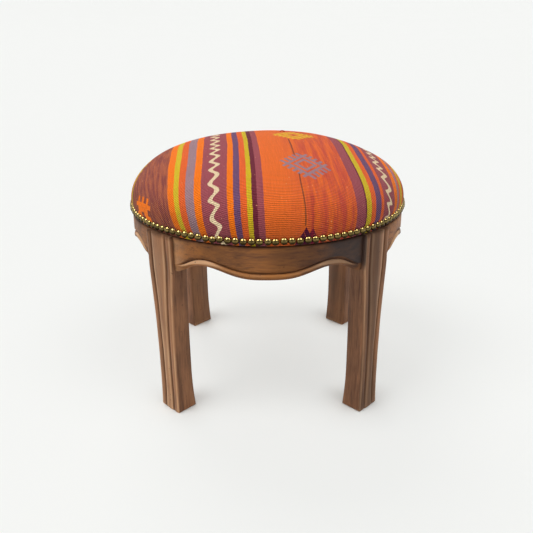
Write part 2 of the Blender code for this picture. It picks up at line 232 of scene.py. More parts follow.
# %% [markdown]
# ## Floor and light
#
# The stool stands on a white studio floor. Far out the floor rises like a dish, so no edge shows from any
# side. Three broad suns and an even sky light the stool at a plain level. The sun on the left is the
# strongest, and those on the right and behind fill in. The side suns show as glints on every nail head, and
# the rear one lays a faint shadow towards the camera. The floor is luminous to the camera and in
# reflections, which softens the shadow as a large white room would, but less so close to the feet, where
# even such a room leaves the floor dark.

# %% Floor and light
FLOOR_HALF = 30.0
FLOOR_CELLS = 40
FLAT_R = 12.0
RIM_RISE = 5.0
FLOOR_COLOUR = tone(243, 244, 242)
FLOOR_GLOW = 0.7
CONTACT_REACH = 0.06
CONTACT_SAMPLES = 4
SKY_LEVEL = 0.16
SUN_SPREAD = math.radians(34)
# Each sun has the turn of its beam from +Y, its height, both in degrees, and its strength.
SUNS = {"left": (-66, 56, 1.58), "right": (60, 58, 0.94), "rear": (-162, 50, 0.94)}

shape = bmesh.new()
bmesh.ops.create_grid(shape, x_segments=FLOOR_CELLS, y_segments=FLOOR_CELLS, size=FLOOR_HALF)
for point in shape.verts:
    beyond = max(0.0, point.co.xy.length - FLAT_R) / (FLOOR_HALF - FLAT_R)
    point.co.z = RIM_RISE * beyond ** 2
floor_mesh = bpy.data.meshes.new("floor")
shape.to_mesh(floor_mesh)
shape.free()
floor = bpy.data.objects.new("floor", floor_mesh)
bpy.context.scene.collection.objects.link(floor)

paper, start, shader = new_finish("white_floor")
feed(shader, "Base Color", FLOOR_COLOUR)
feed(shader, "Roughness", 1.0)
feed(shader, "Specular IOR Level", 0.0)
rays = start.node("ShaderNodeLightPath")
seen = rays | rays.out("Is Glossy Ray") | rays.out("Is Transmission Ray")
settings = {"samples": CONTACT_SAMPLES}
clear = start.node("ShaderNodeAmbientOcclusion", settings, {"Distance": CONTACT_REACH}).out("AO")
glow = start.node("ShaderNodeEmission", None, {"Color": FLOOR_COLOUR})
plain = Sock(paper.node_tree, shader.outputs[0])
share = seen * clear * clear * FLOOR_GLOW
surface = start.node("ShaderNodeMixShader", None, {0: share, 1: plain, 2: glow})
output = paper.node_tree.nodes["Material Output"]
paper.node_tree.links.new(surface.socket, output.inputs["Surface"])
floor_mesh.materials.append(paper)

world = bpy.data.worlds.new("studio")
bpy.context.scene.world = world
world.use_nodes = True
sky = world.node_tree.nodes["Background"]
feed(sky, "Color", FLOOR_COLOUR)
feed(sky, "Strength", SKY_LEVEL)

for side, (azimuth, height, strength) in SUNS.items():
    sun = bpy.data.lights.new(f"sun_{side}", "SUN")
    sun.energy = strength
    sun.angle = SUN_SPREAD
    lamp = bpy.data.objects.new(f"sun_{side}", sun)
    lowered = Matrix.Rotation(math.radians(90 - height), 4, "X")
    lamp.matrix_world = Matrix.Rotation(math.radians(azimuth), 4, "Z") @ lowered
    bpy.context.scene.collection.objects.link(lamp)
print("light:", len(SUNS), "suns and a sky of", SKY_LEVEL)

# %% [markdown]
# ## The stuffed seat
#
# On the real stool a disc of board carries foam and wadding, and the kilim is pulled down over them and
# nailed into a rebate of the frame. The cover is made first as a flat square grid. Each of its points is
# wrapped onto the dome at the same distance from the crown as on the flat cloth, so the grid keeps even
# meshes and has no pole, and the flat place of each point can carry the woven pattern as its UV map.

# %% Outline of the seat, from the crown to the hem
cover_low, cover_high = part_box("kilim_cover")
board_low, board_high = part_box("seat_board")
DOME_R = 0.2249
DOME_BASE = 0.3160
SIDE_POWER = 1.93
TOP_POWER = 2.40
DOME_END = 0.3203
HEM_R = 0.2233
HEM_LINE = 0.3153
HEM_INNER_R = 0.2212
SEAT_CLEARANCE = 0.0006
OUTLINE_STEPS = 400

crown_height = cover_high.z - DOME_BASE
last_turn = math.asin(((DOME_END - DOME_BASE) / crown_height) ** (TOP_POWER / 2))
turns = np.linspace(math.pi / 2, last_turn, OUTLINE_STEPS)
radii = DOME_R * np.cos(turns) ** (2 / SIDE_POWER)
heights = DOME_BASE + crown_height * np.sin(turns) ** (2 / TOP_POWER)
radii = np.append(radii, [HEM_R, HEM_R])
heights = np.append(heights, [HEM_LINE, cover_low.z])
lengths = np.append(0.0, np.cumsum(np.hypot(np.diff(radii), np.diff(heights))))
cloth_reach = lengths[-1]
print("seat outline: cloth from crown to hem", round(float(cloth_reach), 4), "m")

# %% [markdown]
# The stripes of the cloth don't run quite straight from front to back: the upholsterer laid the kilim
# with a slight turn and pulled its front edge wider. The flat place of each point takes that in, and
# also the lean of the crown that a later step gives the seat.

# %% Cover as a wrapped grid
NAIL_COUNT = 126
CLOTH_TURN = math.atan(0.07)
PULL_START = 0.040
PULL_LENGTH = 0.190
PULL_POWER = 1.8
PULL_SHARE = 0.165
PULL_SLANT = 0.5
PULL_MOST = 1.3
LEAN = 0.005
LEAN_HEIGHT = 0.388
LEAN_REACH = 0.018


def wrapped(a, b):
    """Flat place of a point of the square grid, after the square is eased into a disc of cloth."""
    reach = max(abs(a), abs(b)) * cloth_reach
    if abs(a) > abs(b):
        angle = math.pi / 4 * b / a + (math.pi if a < 0 else 0)
    elif b:
        angle = math.pi / 2 - math.pi / 4 * a / b + (math.pi if b < 0 else 0)
    else:
        angle = 0.0
    return reach, angle


def on_seat(reach, angle):
    """Point of the seat at a distance along the cloth from the crown, in a direction about +Z."""
    radius = np.interp(reach, lengths, radii)
    return Vector((radius * math.cos(angle), radius * math.sin(angle), np.interp(reach, lengths, heights)))


def crown_lean(height):
    """Shift of the seat to the left at a height or at an array of heights."""
    return LEAN * np.exp(-((height - LEAN_HEIGHT) / LEAN_REACH) ** 2)


def woven_place(reach, angle):
    """Place in the woven pattern: across the stripes and along them."""
    across = reach * math.cos(angle - CLOTH_TURN) - crown_lean(np.interp(reach, lengths, heights))
    along = reach * math.sin(angle - CLOTH_TURN)
    pull = min(PULL_MOST, max(0.0, (-along - PULL_START) / PULL_LENGTH)) ** PULL_POWER
    return across / (1 + (PULL_SHARE + PULL_SLANT * across) * pull), along


def cover_shape():
    """The cover from crown to hem, as a bmesh with its woven places in a UV map."""
    cover = bmesh.new()
    bmesh.ops.create_grid(cover, x_segments=NAIL_COUNT, y_segments=NAIL_COUNT, size=1.0)
    flat = {}
    for point in cover.verts:
        flat[point] = wrapped(point.co.x, point.co.y)
        point.co = on_seat(*flat[point])
    woven = cover.loops.layers.uv.new("cloth")
    for face in cover.faces:
        for corner in face.loops:
            corner[woven].uv = woven_place(*flat[corner.vert])
    return cover


cover = cover_shape()
print("cover grid:", len(cover.verts), "points,", sum(e.is_boundary for e in cover.edges), "on the hem")

# %% [markdown]
# The hem turns under, runs up inside the rebate and ends over the board, so that the seat sits round
# the board. Each turn extrudes the open edge to a new radius and height. The underside stays open until
# the cover has its final form, because one face with so many corners would slow the next two steps.

# %% Turn the hem under
def turned_in(shape, radius, height):
    """Extrudes the open edge of the cover to a radius and a height."""
    edges = [edge for edge in shape.edges if edge.is_boundary]
    made = bmesh.ops.extrude_edge_only(shape, edges=edges)["geom"]
    for point in [item for item in made if isinstance(item, bmesh.types.BMVert)]:
        direction = Vector((point.co.x, point.co.y)).normalized() * radius
        point.co = (direction.x, direction.y, height)


board_r = (board_high.x - board_low.x) / 2
turned_in(cover, HEM_INNER_R, cover_low.z)
turned_in(cover, HEM_INNER_R, board_low.z)
turned_in(cover, board_r + SEAT_CLEARANCE, board_low.z)
turned_in(cover, board_r + SEAT_CLEARANCE, board_high.z + SEAT_CLEARANCE)
bmesh.ops.recalc_face_normals(cover, faces=cover.faces[:])
seat_mesh = bpy.data.meshes.new("seat_cushion")
cover.to_mesh(seat_mesh)
cover.free()
cushion = bpy.data.objects.new("seat_cushion", seat_mesh)
bpy.context.scene.collection.objects.link(cushion)
print("seat:", len(seat_mesh.vertices), "points,", len(seat_mesh.polygons), "faces")

# %% [markdown]
# ## Swelling
#
# The stuffing presses the cloth out while the nails hold its edge. Blender's cloth does this: pressure
# inside, no gravity, and the hem pinned. Twenty frames settle it, and a cap keeps any point from going
# further than a tight cover would let it.

# %% Let the stuffing press the cover out
PRESSURE = 1.5
SWELL_LIMIT = 0.004
SETTLE_FRAMES = 20
HELD_BELOW = 0.324


def positions(mesh):
    """The points of a mesh as an array of rows."""
    places = np.empty(len(mesh.vertices) * 3, np.float32)
    mesh.vertices.foreach_get("co", places)
    return places.reshape(-1, 3).astype(float)


def move_to(mesh, places):
    """Puts the points of a mesh at the rows of an array."""
    mesh.vertices.foreach_set("co", places.astype(np.float32).ravel())
    mesh.update()


def evaluated_mesh(piece):
    """A new mesh of the piece with its modifiers applied."""
    graph = bpy.context.evaluated_depsgraph_get()
    return bpy.data.meshes.new_from_object(piece.evaluated_get(graph))


def crown_of(piece):
    """Height of the highest point of a piece."""
    return round(float(positions(piece.data)[:, 2].max()), 4)


def swell(piece):
    """Runs the cloth and keeps its capped result in the piece's mesh."""
    rest = positions(piece.data)
    held = piece.vertex_groups.new(name="held")
    within = np.hypot(rest[:, 0], rest[:, 1]) < HEM_INNER_R
    under = within & (rest[:, 2] < board_high.z + 2 * SEAT_CLEARANCE)
    fixed = np.flatnonzero((rest[:, 2] < HELD_BELOW) | under)
    held.add([int(index) for index in fixed], 1.0, "REPLACE")
    cloth = piece.modifiers.new("stuffing", "CLOTH")
    cloth.settings.quality = 5
    cloth.settings.mass = 0.4
    cloth.settings.tension_stiffness = 30
    cloth.settings.compression_stiffness = 30
    cloth.settings.shear_stiffness = 10
    cloth.settings.bending_stiffness = 2
    cloth.settings.use_pressure = True
    cloth.settings.uniform_pressure_force = PRESSURE
    cloth.settings.vertex_group_mass = "held"
    cloth.settings.effector_weights.gravity = 0
    cloth.point_cache.frame_start = 1
    cloth.point_cache.frame_end = SETTLE_FRAMES
    for number in range(1, SETTLE_FRAMES + 1):
        bpy.context.scene.frame_set(number)
    settled = evaluated_mesh(piece)
    move = positions(settled) - rest
    bpy.data.meshes.remove(settled)
    piece.modifiers.remove(cloth)
    piece.vertex_groups.remove(held)
    bpy.context.scene.frame_set(1)
    far = np.linalg.norm(move, axis=1, keepdims=True)
    move_to(piece.data, rest + move * np.minimum(1.0, SWELL_LIMIT / np.maximum(far, 1e-9)))
    mean, most = (round(float(value) * 1000, 2) for value in (far.mean(), far.max()))
    print("swelling: mean", mean, "mm, most", most, "mm")


swell(cushion)
print("crown at", crown_of(cushion), "m")

# %% [markdown]
# Old stuffing is never even. The grid is made finer once, then the cover gets the small dents that its
# nails pull in, a crown that leans a little to the left, as in the photograph, and slow bumps.

# %% Dents, lean and unevenness
NAIL_LINE = 0.3129
HEAD_RADIUS = 0.0056
DENT_DEPTH = 0.0034
TILT = 0.02
TILT_REACH = 0.1
BUMP_SIZE = 0.0008
BUMPS_PER_METRE = 17
FREE_RISE = 0.03
OUTSIDE_MARGIN = 0.0004
OVER_BOARD = 0.002
PRESSED_IN = 0.0002


def close_up(shape):
    """Fills the open edges of a shape and turns its faces outwards."""
    bmesh.ops.holes_fill(shape, edges=[edge for edge in shape.edges if edge.is_boundary], sides=0)
    bmesh.ops.recalc_face_normals(shape, faces=shape.faces[:])


def make_finer(piece):
    """Subdivides the mesh of a piece once, closes it, and keeps the result."""
    rounder = piece.modifiers.new("rounder", "SUBSURF")
    rounder.levels = 1
    rounder.render_levels = 1
    finer = evaluated_mesh(piece)
    piece.modifiers.remove(rounder)
    coarse = piece.data
    piece.data = finer
    bpy.data.meshes.remove(coarse)
    shape = bmesh.new()
    shape.from_mesh(finer)
    close_up(shape)
    shape.to_mesh(finer)
    shape.free()


make_finer(cushion)
places = positions(cushion.data)
reach = np.hypot(places[:, 0], places[:, 1])
angle = np.arctan2(places[:, 1], places[:, 0])
outside = (reach > HEM_INNER_R + OUTSIDE_MARGIN) | (places[:, 2] > board_high.z + OVER_BOARD)
pitch = math.tau / NAIL_COUNT
beside = (np.mod(angle, pitch) - pitch / 2) * reach
from_nail = np.hypot(beside, places[:, 2] - NAIL_LINE) / HEAD_RADIUS
pressed = HEM_R - PRESSED_IN + DENT_DEPTH * np.clip(from_nail - 1, 0, 1)
near = outside & (places[:, 2] < NAIL_LINE + 2 * HEAD_RADIUS) & (reach > pressed)
places[near, :2] *= (pressed[near] / reach[near])[:, None]
places[:, 2] += outside * TILT * places[:, 0] * np.exp(-(reach / TILT_REACH) ** 2)
places[:, 0] -= outside * crown_lean(places[:, 2])
bumps = np.array([noise.noise(Vector(place) * BUMPS_PER_METRE) for place in places])
free = np.clip((places[:, 2] - HELD_BELOW) / FREE_RISE, 0, 1) * outside
upward = np.column_stack((places[:, :2], places[:, 2] - board_low.z))
upward /= np.linalg.norm(upward, axis=1, keepdims=True)
move_to(cushion.data, places + upward * (BUMP_SIZE * bumps * free)[:, None])
cushion.data.polygons.foreach_set("use_smooth", [True] * len(cushion.data.polygons))
print("seat:", len(cushion.data.polygons), "faces, crown at", crown_of(cushion), "m")

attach(cushion, "root")
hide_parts("kilim_cover", "wadding", "foam_pad")

# %% [markdown]
# ## The kilim
#
# A kilim is a flat weave: its coloured wefts hide the warps, so it shows bands of plain colour with
# fine ribs across them, one for each warp. Zigzags and comb diamonds are laid in with extra yarn. The
# pattern is worked out from the flat place of the cloth, in millimetres, so the stripes bend over the
# dome just as the cloth does.

# %% Yarns and stripes
YARN = {
    "orange": tone(236, 110, 42),
    "vivid": tone(252, 123, 16),
    "red": tone(234, 101, 42),
    "yellow": tone(218, 188, 36),
    "olive": tone(212, 182, 32),
    "mauve": tone(162, 128, 136),
    "purple": tone(112, 76, 112),
    "plum": tone(160, 78, 86),
    "dark": tone(112, 38, 54),
    "brown": tone(184, 99, 66),
}
FIELD_FROM = -19.0
FIELD_TO = 105.0
BROWN_LEFT_TO = -158.5
BROWN_RIGHT_FROM = 228.0
# Where each stripe begins, in millimetres across the cloth, and its yarn.
STRIPES = (
    (-280.0, "brown"), (BROWN_LEFT_TO, "vivid"), (-148.3, "yellow"),
    (-139.5, "red"), (-127.8, "mauve"), (-115.5, "vivid"), (-103.6, "plum"), (-65.8, "vivid"),
    (-57.4, "purple"), (-48.8, "red"), (-40.6, "olive"), (-34.9, "dark"), (-27.4, "plum"),
    (FIELD_FROM, "orange"), (FIELD_TO, "plum"), (118.5, "dark"), (122.5, "olive"), (129.5, "red"),
    (138.5, "purple"), (149.0, "red"), (156.5, "plum"), (187.8, "vivid"), (197.0, "mauve"),
    (205.0, "red"), (211.0, "yellow"), (219.0, "vivid"), (BROWN_RIGHT_FROM, "brown"),
)
STRIPES_END = 280.0
RIB_PITCH = 2.8
EDGE_WANDER = 3.0
EDGE_JITTER = 1.1

kilim, start, shader = new_finish("kilim")
woven = start.node("ShaderNodeUVMap", {"uv_map": "cloth"})
flat = start.node("ShaderNodeSeparateXYZ", None, {0: woven})
across = flat * 1000
along = flat.out(1) * 1000
warp = (along / RIB_PITCH).math("FLOOR")


def cloth_noise(rate_across, rate_along, detail=2.0, roughness=0.5):
    """Noise over the flat cloth, in blotches per millimetre across the stripes and along them."""
    place = vector_of(start, across * rate_across, along * rate_along)
    return speckle(start, place, 1.0, detail, roughness)


wander = cloth_noise(0.02, 0.014) - 0.5
jitter = speckle(start, vector_of(start, across * 0.11, warp * 0.71), 1.0, detail=0.0) - 0.5
edge = across + wander * EDGE_WANDER + jitter * EDGE_JITTER
first = STRIPES[0][0]
width = STRIPES_END - first
stops = [((begin - first) / width, YARN[yarn]) for begin, yarn in STRIPES]
striped = {"steps": "CONSTANT", "stops": stops}
colour = start.node("ShaderNodeValToRGB", striped, {0: (edge - first) / width})
print("kilim:", len(STRIPES), "stripes over", round(width), "mm")

# %% [markdown]
# Past the brown field on the left another piece of kilim is joined on at a slant. Only its yellow border
# shows over the horizon of the seat in the photograph, so the red behind it is a guess.

# %% The joined piece on the left
BORDER_AT = -215.0
BORDER_SLANT = 0.42
BORDER_INNER = -190.0
BORDER_WIDTH = 8.0

border = (along * BORDER_SLANT + BORDER_AT).math("MINIMUM", BORDER_INNER)
past = border - edge
colour = colour.mixed(YARN["yellow"], past > 0.0)
colour = colour.mixed(YARN["red"], past > BORDER_WIDTH)
print("joined piece: border at", BORDER_AT, "mm beside the crown")

# %% [markdown]
# Hand-dyed wool is never one colour. The orange field turns redder to the right and has streaks along
# its wefts, and the brown field is a mix of a lighter and a darker yarn. Both follow the stripes' length.

# %% Streaks of the dye
FIELD_RED = tone(204, 78, 58)
BROWN_DARK = tone(122, 55, 60)
STRAW = tone(236, 176, 120)

streak = cloth_noise(0.13, 0.011, detail=4.0, roughness=0.65)
in_field = (edge > FIELD_FROM) * (edge < FIELD_TO)
redder = streak.clamped(0.33, 0.65) * across.clamped(4.0, 60.0)
colour = colour.mixed(FIELD_RED, redder * in_field)
thread = cloth_noise(0.6, 0.03, roughness=0.7)
coarse = cloth_noise(0.22, 0.02)
in_brown = (past < 0.0) * (edge < BROWN_LEFT_TO) | (edge > BROWN_RIGHT_FROM)
colour = colour.mixed(BROWN_DARK, (thread * 0.5 + coarse * 0.5).clamped(0.4, 0.6) * in_brown * 0.8)
fleck = cloth_noise(0.35, 0.22, detail=0.0)
colour = colour.mixed(STRAW, fleck.clamped(0.79, 0.84) * 0.6)
print("dye: streaks in the orange and the brown fields")

# %% [markdown]
# Cream zigzags run along both plum bands. A PINGPONG sum gives a triangle wave along the band, its sine
# rounds the turns, and a slow noise makes them as uneven as the weaver's.

# %% Zigzags
CREAM = tone(236, 210, 170)
# Middle, swing to either side and length of a turn, in millimetres.
ZIGZAGS = ((-84.5, 5.0, 29.0), (172.5, 4.5, 25.0))
ZIGZAG_LINE = 7.0
ZIGZAG_START = -12.0
UNEVEN_TURNS = 24.0
TURN_ROUND = 1.55

uneven = cloth_noise(0.004, 0.018, detail=1.0) - 0.5
raised = None
for centre, swing, period in ZIGZAGS:
    turning = along + uneven * UNEVEN_TURNS + ZIGZAG_START
    triangle = turning.math("PINGPONG", period / 2) * (4 / period) - 1
    path = (triangle * TURN_ROUND).math("SINE") * swing + centre
    line = abs(across + jitter - path) < ZIGZAG_LINE / 2
    colour = colour.mixed(CREAM, line)
    raised = line if raised is None else raised | line
print("zigzags:", len(ZIGZAGS))

# %% [markdown]
# The comb diamond is two nested squares standing on a corner, with teeth on the outer one. Turned by
# 45 degrees its rings are lines of equal largest distance, and its teeth repeat along its sides.

# %% Comb diamonds
MOTIF_DARK = tone(78, 16, 46)
# Centre, half of a side, lengths of the teeth, line, stretch along the cloth, tooth spacing and yarn.
MOTIFS = (
    ((45.0, -129.6), 17.7, (10.0, 13.0), 4.4, 1.04, 0.5, YARN["mauve"]),
    ((44.0, 9.0), 18.0, (9.0, 10.0), 5.2, 1.0, 0.5, tone(236, 184, 46)),
    ((39.0, -291.0), 10.0, (8.5, 8.5), 4.6, 2.0, 0.5, MOTIF_DARK),
    ((45.0, 157.0), 17.7, (9.0, 11.5), 4.5, 1.0, 0.5, YARN["purple"]),
    ((-223.0, -133.0), 13.0, (10.0, 10.0), 5.6, 1.45, 1.0, tone(255, 124, 6)),
    ((-219.0, 20.0), 11.5, (9.0, 9.0), 4.6, 1.5, 1.0, tone(214, 170, 50)),
)
INNER_SHARE = 0.56


def comb_diamond(centre, side, teeth, line, stretch, spacing):
    """1 on the rings and teeth of a comb diamond, 0 beside it."""
    right = across + jitter * 0.6 - centre[0]
    up = (along - centre[1]) / stretch
    slant = abs(right + up) * math.sqrt(0.5)
    other = abs(right - up) * math.sqrt(0.5)
    far = slant | other
    rings = (abs(far - side) < line / 2) | (abs(far - side * INNER_SHARE) < line / 2)
    for one, two, length in ((slant, other, teeth[0]), (other, slant, teeth[1])):
        tooth = (one > side) * (one < side + length) * (two < side + line / 2)
        rings = rings | tooth * (two.math("PINGPONG", side * spacing / 2) < line / 2)
    return rings


for centre, side, teeth, line, stretch, spacing, dye in MOTIFS:
    diamond = comb_diamond(centre, side, teeth, line, stretch, spacing)
    colour = colour.mixed(dye, diamond)
    raised = raised | diamond
print("comb diamonds:", len(MOTIFS))

# %% [markdown]
# A mend shows on the orange field: a thin dark line where two woven pieces meet, hidden by the mauve
# diamond, and a crimson bleed of dye near the front nails. Both are drawn by their place on the cloth.

# %% Seam line and dye bleed
SEAM = tone(112, 62, 44)
SEAM_AT = 33.0
SEAM_HALF = 0.9
SEAM_FROM = -246.0
SEAM_TO = -22.0
HIDDEN_AT = -128.6
HIDDEN_HALF = 27.0
BLEED = tone(158, 30, 52)
BLEED_AT = 45.0

seam = abs(across + wander * 4 - SEAM_AT) < SEAM_HALF
seam = seam * (along > SEAM_FROM) * (along < SEAM_TO) * (abs(along - HIDDEN_AT) > HIDDEN_HALF)
colour = colour.mixed(SEAM, seam * 0.85)
bleed = (1 - abs(across - BLEED_AT).clamped(1.5, 6.0)) * (1 - along.clamped(-214.0, -186.0))
colour = colour.mixed(BLEED, bleed * streak.clamped(0.3, 0.6) * in_field * 0.55)
print("kilim: seam line and bleed")

# %% [markdown]
# The ribs stand over the warps. They show as relief, and as thin dark valleys of painted shade, clearest
# where the light grazes the side of the dome and fainter towards its top. The cloth is darker towards the
# nails, partly soil and partly painted shade. Brocaded yarn stands a little proud of the ground and gets
# less of it.

# %% Ribs, wool and the finished kilim
VALLEY_SHADE = 0.54
TOP_FADE = 0.6
TOP_FROM = 0.355
TOP_TO = 0.408
NAIL_SHADE = 0.36
SOIL_AND_SHADE_TOP = 0.365
RAISED_SPARED = 0.85
WOOL_SHADE = 0.24
THREAD_SHADE = 0.22
WOOL_LEVEL = 1.14
RELIEF = 0.0010
MOTIF_RELIEF = 0.7

bend = cloth_noise(0.02, 0.03) - 0.5
rib = abs(((along + bend * 3.0) * (math.pi / RIB_PITCH)).math("SINE"))
valley = 1 - rib.clamped(0.0, 0.75)
wool = cloth_noise(1.6, 0.5, detail=3.0, roughness=0.7)
rise = start.node("ShaderNodeSeparateXYZ", None, {0: object_place(start)}).out(2)
patchy = cloth_noise(0.03, 0.2)
# Painted shade in the rib valleys, fainter towards the top of the dome.
depth = valley * (1 - rise.clamped(TOP_FROM, TOP_TO) * TOP_FADE) * (patchy + 0.5)
# Darker towards the nails: partly soil, partly painted shade, and less of it on the raised yarn.
soil_and_shade = (1 - rise.clamped(DOME_BASE, SOIL_AND_SHADE_TOP)) * NAIL_SHADE * (1 - raised * RAISED_SPARED)
shade = (1 - depth * VALLEY_SHADE) * (1 - soil_and_shade) * (wool * (2 * WOOL_SHADE) + (1 - WOOL_SHADE))
shade = shade * (thread * (2 * THREAD_SHADE) + (WOOL_LEVEL - THREAD_SHADE))
grey = start.node("ShaderNodeCombineColor", None, {0: shade, 1: shade, 2: shade})
colour = colour.mixed(grey, 1.0, "MULTIPLY")
height = rib.clamped(0.0, 1.0) + wool * 0.6 + raised * MOTIF_RELIEF
relief = start.node("ShaderNodeBump", None, {"Height": height, "Strength": 0.8, "Distance": RELIEF})
feed(shader, "Base Color", colour)
feed(shader, "Normal", relief)
feed(shader, "Roughness", 0.92)
feed(shader, "Specular IOR Level", 0.08)
feed(shader, "Sheen Weight", 0.10)
feed(shader, "Sheen Roughness", 0.5)
cushion.data.materials.clear()
cushion.data.materials.append(kilim)
print("kilim: rib pitch", RIB_PITCH, "mm,", len(kilim.node_tree.nodes), "nodes")

# %% [markdown]
# ## Nails
#
# A close row of round brass nails holds the hem in the rebate. Each head is a low dome, spun from half
# of its outline, and it follows the round of the seat, so it looks a little upwards. They are driven by
# hand, so each one sits a little off its place and leans a little.
# Local +X is the underside of a head once it is driven. A value on each point holds tarnish at the rim
# and painted shade on that underside.

# %% A row of brass nails
HEAD_HEIGHT = 0.0042
HEAD_SIDES = 12
HEAD_STEPS = 5
HEAD_FACE_R = 0.2231
HEAD_ROUND = 0.95
RIM_POWER = 24
UNDER_SHADE = 0.9
UNDER_FROM = 0.4
NAIL_SLIP = 0.0003
NAIL_LEAN = math.radians(4)
NAIL_TILT = math.radians(24)

chance = random.Random(5)
heads = bmesh.new()
dull = heads.verts.layers.float.new("dull")
for index in range(NAIL_COUNT):
    outline = []
    for step in range(HEAD_STEPS + 1):
        turn = math.pi / 2 * step / HEAD_STEPS
        out = HEAD_RADIUS * math.sin(turn) ** HEAD_ROUND
        outline.append(heads.verts.new((out, 0.0, HEAD_HEIGHT * math.cos(turn))))
    edges = [heads.edges.new(pair) for pair in zip(outline, outline[1:])]
    before = set(heads.verts) - set(outline)
    bmesh.ops.spin(heads, geom=edges + outline, cent=(0, 0, 0), axis=(0, 0, 1), angle=math.tau,
                   steps=HEAD_SIDES, use_merge=True)
    new = [point for point in heads.verts if point not in before]
    for point in new:
        rim = (point.co.xy.length / HEAD_RADIUS) ** RIM_POWER
        # Tarnish at the rim, and painted shade on the underside of the head.
        point[dull] = min(1.0, rim + UNDER_SHADE * max(0.0, point.co.x / HEAD_RADIUS + UNDER_FROM))
    around = math.tau * (index + 0.5) / NAIL_COUNT + chance.gauss(0, NAIL_SLIP) / HEAD_FACE_R
    sideways = Matrix.Rotation(chance.gauss(0, NAIL_LEAN), 4, "X")
    lean = sideways @ Matrix.Rotation(chance.gauss(0, NAIL_LEAN), 4, "Y")
    place = Matrix.Translation((HEAD_FACE_R, 0, NAIL_LINE + chance.gauss(0, NAIL_SLIP)))
    tilt = Matrix.Rotation(math.pi / 2 - NAIL_TILT, 4, "Y")
    driven = Matrix.Rotation(around, 4, "Z") @ place @ tilt @ lean
    bmesh.ops.transform(heads, matrix=driven, verts=new)
bmesh.ops.remove_doubles(heads, verts=heads.verts[:], dist=1e-6)
bmesh.ops.recalc_face_normals(heads, faces=heads.faces[:])
print("nails:", NAIL_COUNT, "heads,", len(heads.faces), "faces")

# %% [markdown]
# Nails, yarn, legs and aprons all become objects in the same way, so one function does it: the shape goes
# into a mesh, gets its finish, and takes the place of the nodes of the frame that it stands for.

# %% A piece from a finished shape
def piece_from(shape, name, finish, nodes):
    """Makes an object of a bmesh, smooth and with its finish, in place of some of the frame's nodes."""
    mesh = bpy.data.meshes.new(name)
    shape.to_mesh(mesh)
    shape.free()
    mesh.polygons.foreach_set("use_smooth", [True] * len(mesh.polygons))
    mesh.materials.append(finish)
    made = bpy.data.objects.new(name, mesh)
    bpy.context.scene.collection.objects.link(made)
    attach(made, "root")
    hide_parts(*nodes)
    return made


print("pieces: a finished shape can take its place in the frame")

# %% [markdown]
# A loose end of red yarn stands up from the crown beside the yellow diamond. It is a short bent tube: a
# small ring of points that is spun about a centre beside it, which makes an arch.

# %% A loose end of yarn
TUFT_PLACE = Vector((0.026, 0.052, 0.0))
TUFT_SPAN = 0.0042
TUFT_THICK = 0.0012
TUFT_SINK = 0.0012
TUFT_SIDES = 8
TUFT_STEPS = 12
TUFT_FLAT = 0.7

wool_end, start, shader = new_finish("red_yarn")
twist = speckle(start, object_place(start), 1500.0).clamped(0.35, 0.65)
feed(shader, "Base Color", plain_colour(start, tone(206, 66, 36)).mixed(tone(150, 36, 26), twist))
feed(shader, "Roughness", 0.95)

places = positions(cushion.data)
nearest = np.argmin(np.hypot(places[:, 0] - TUFT_PLACE.x, places[:, 1] - TUFT_PLACE.y) - places[:, 2])
TUFT_PLACE.z = places[nearest, 2] - TUFT_SINK
arch = bmesh.new()
ring = bmesh.ops.create_circle(arch, segments=TUFT_SIDES, radius=TUFT_THICK)["verts"]
bmesh.ops.translate(arch, verts=ring, vec=(TUFT_SPAN, 0, 0))
bmesh.ops.spin(arch, geom=arch.verts[:] + arch.edges[:], cent=(0, 0, 0), axis=(0, -1, 0), angle=math.pi,
               steps=TUFT_STEPS)
close_up(arch)
bmesh.ops.scale(arch, verts=arch.verts[:], vec=(1.0, 1.0, TUFT_FLAT))
bmesh.ops.translate(arch, verts=arch.verts[:], vec=TUFT_PLACE)
piece_from(arch, "yarn_tuft", wool_end, ["kilim_cover"])
print("tuft: at height", round(TUFT_PLACE.z, 4), "m")

# %% [markdown]
# The heads are antique brass: a golden metal with brown tarnish round the rim, and with painted shade
# on the underside of each head.

# %% Antique brass
brass, start, shader = new_finish("antique_brass")
spots = speckle(start, object_place(start), 900.0, detail=3.0)
# Tarnish at the rim and in spots, and painted shade on the underside.
tarnish_and_under_shade = (point_value(start, "dull") + spots.clamped(0.55, 0.8) * 0.5).clamped(0.0, 1.0)
feed(shader, "Base Color", plain_colour(start, tone(192, 167, 102)).mixed(tone(50, 38, 18), tarnish_and_under_shade))
feed(shader, "Metallic", 1.0)
feed(shader, "Roughness", tarnish_and_under_shade * 0.3 + 0.14)
piece_from(heads, "brass_nails", brass, ["kilim_cover"])
print("nails: antique brass")

# %% [markdown]
# ## Stained wood
#
# The frame is a brown-stained hardwood with a worn satin finish. The stain is thin on the arrises and
# bead crowns, where hands and dusters rub it, and thick in the grooves. Each piece carries that as three
# values on its points. The first is wear, and also painted highlight on the bead crests and on the left end
# of the front apron. The second is grime, and also painted shade close under the hem and under the bead.
# The third makes the sides of the legs, the face of the front right leg and one end of the front apron
# darker. The grain is a noise stretched along the length of each piece, so there is one finish for each
# direction. The aprons took the brown a little warmer than the legs.

# %% Stained wood finish
LEG_LIGHT = tone(168, 115, 77)
APRON_LIGHT = tone(172, 107, 46)
WOOD_DARK = tone(94, 57, 34)
WOOD_WORN_SHEEN = tone(218, 170, 128)
WOOD_GRIME = tone(58, 34, 22)
WOOD_DARKENED = tone(52, 39, 36)
WOOD_MARKS = ("wear", "grime", "stain")
GRAIN_ACROSS = 75.0
GRAIN_ALONG = 5.0


